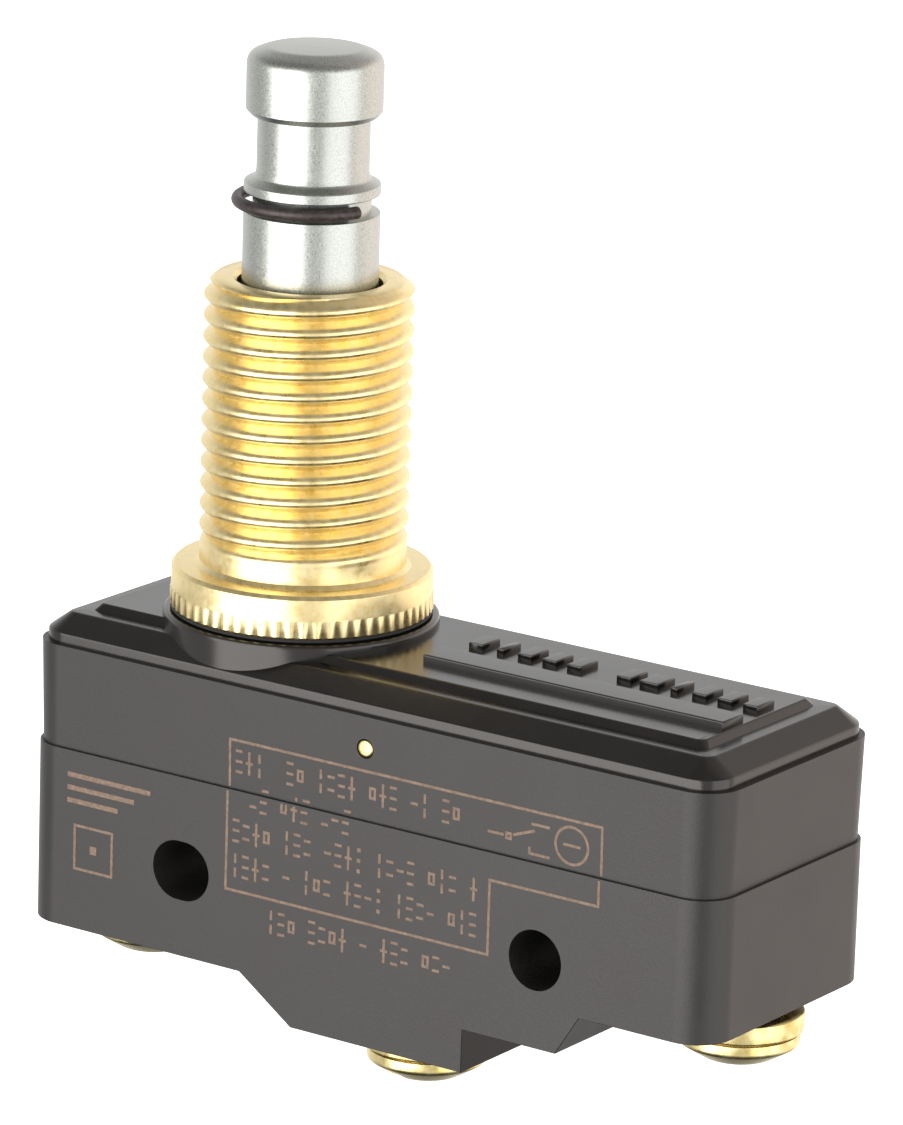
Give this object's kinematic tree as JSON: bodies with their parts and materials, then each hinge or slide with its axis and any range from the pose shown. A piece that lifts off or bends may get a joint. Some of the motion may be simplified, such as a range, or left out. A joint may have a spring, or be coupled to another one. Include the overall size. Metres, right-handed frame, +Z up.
{
  "type": "limit switch",
  "caption": "Panel-mount limit switch: stepped moulded case, threaded brass bushing with a knurled flange, long spring-loaded steel plunger, screw terminals.",
  "frame": {"origin": "on the flat rear face of the lower case, midway between the two mounting holes", "axes": "+Z up along the plunger, +X along the case towards the normally-closed terminal, +Y out of the rear mounting face"},
  "size_m": [0.05, 0.0174, 0.0611],
  "materials": {
    "case_phenolic": "moulded, semi-gloss",
    "cap_phenolic": "moulded, glossy",
    "bushing_brass": "turned, bright",
    "terminal_brass": "stamped",
    "screw_brass": "cold headed, bright",
    "plunger_steel": "turned, bright plated",
    "ring_steel": "oil blackened",
    "spring_steel": "drawn wire",
    "blade_copper": "rolled strip",
    "contact_silver": "bright",
    "seal_rubber": "moulded",
    "pin_nylon": "moulded"
  },
  "bodies": {
    "housing": {"lower_case": "case_phenolic", "upper_case": "case_phenolic", "top_cap": "cap_phenolic", "cover_pin": "bushing_brass", "case_dowel_left": "bushing_brass", "case_dowel_right": "bushing_brass", "bushing": "bushing_brass", "bushing_ring": "spring_steel", "cap_gasket": "seal_rubber", "flange_seal": "seal_rubber", "overtravel_spring": "spring_steel", "com_terminal": "terminal_brass", "no_terminal": "terminal_brass", "nc_terminal": "terminal_brass", "blade_anchor": "terminal_brass", "no_contact": "contact_silver", "nc_contact": "contact_silver"},
    "plunger": {"plunger": "plunger_steel", "snap_ring": "ring_steel"},
    "actuator": {"drive_cup": "spring_steel", "actuator_pin": "pin_nylon"},
    "blade": {"snap_blade": "blade_copper", "moving_contact": "contact_silver"},
    "com_washer": {"com_washer": "screw_brass"},
    "com_screw": {"com_screw": "screw_brass"},
    "no_washer": {"no_washer": "screw_brass"},
    "no_screw": {"no_screw": "screw_brass"},
    "nc_washer": {"nc_washer": "screw_brass"},
    "nc_screw": {"nc_screw": "screw_brass"}
  },
  "joints": [
    {"name": "plunger_slide", "type": "slide", "parent": "housing", "child": "plunger", "axis": [0, 0, -1], "range_m": [0, 0.004], "stiffness_N_per_m": 700, "springref_m": -0.003, "deforming": ["overtravel_spring"]},
    {"name": "pin_slide", "type": "slide", "parent": "housing", "child": "actuator", "axis": [0, 0, -1], "range_m": [0, 0.00043]},
    {"name": "blade_swing", "type": "hinge", "parent": "housing", "child": "blade", "pos_m": [-0.0196, -0.00873, 0.007], "axis": [0, 1, 0], "range_deg": [0, 2.75]},
    {"name": "com_screw_lift", "type": "slide", "parent": "housing", "child": "com_washer", "axis": [0, 0, -1], "range_m": [0, 0.00159]},
    {"name": "com_screw_turn", "type": "hinge", "parent": "com_washer", "child": "com_screw", "pos_m": [-0.0212, -0.00873, -0.008], "axis": [0, 0, -1], "range_deg": [0, 720]},
    {"name": "no_screw_lift", "type": "slide", "parent": "housing", "child": "no_washer", "axis": [0, 0, -1], "range_m": [0, 0.00159]},
    {"name": "no_screw_turn", "type": "hinge", "parent": "no_washer", "child": "no_screw", "pos_m": [-0.0006, -0.00873, -0.008], "axis": [0, 0, -1], "range_deg": [0, 720]},
    {"name": "nc_screw_lift", "type": "slide", "parent": "housing", "child": "nc_washer", "axis": [0, 0, -1], "range_m": [0, 0.00159]},
    {"name": "nc_screw_turn", "type": "hinge", "parent": "nc_washer", "child": "nc_screw", "pos_m": [0.0212, -0.00873, -0.008], "axis": [0, 0, -1], "range_deg": [0, 720]}
  ],
  "couplings": [
    {"joint": "pin_slide", "follows": "plunger_slide", "ratio": 0.10708},
    {"joint": "blade_swing", "follows": "plunger_slide", "rad_per_m": 11.991},
    {"joint": "com_screw_turn", "follows": "com_screw_lift", "rad_per_m": 7913.2},
    {"joint": "no_screw_turn", "follows": "no_screw_lift", "rad_per_m": 7913.2},
    {"joint": "nc_screw_turn", "follows": "nc_screw_lift", "rad_per_m": 7913.2}
  ]
}
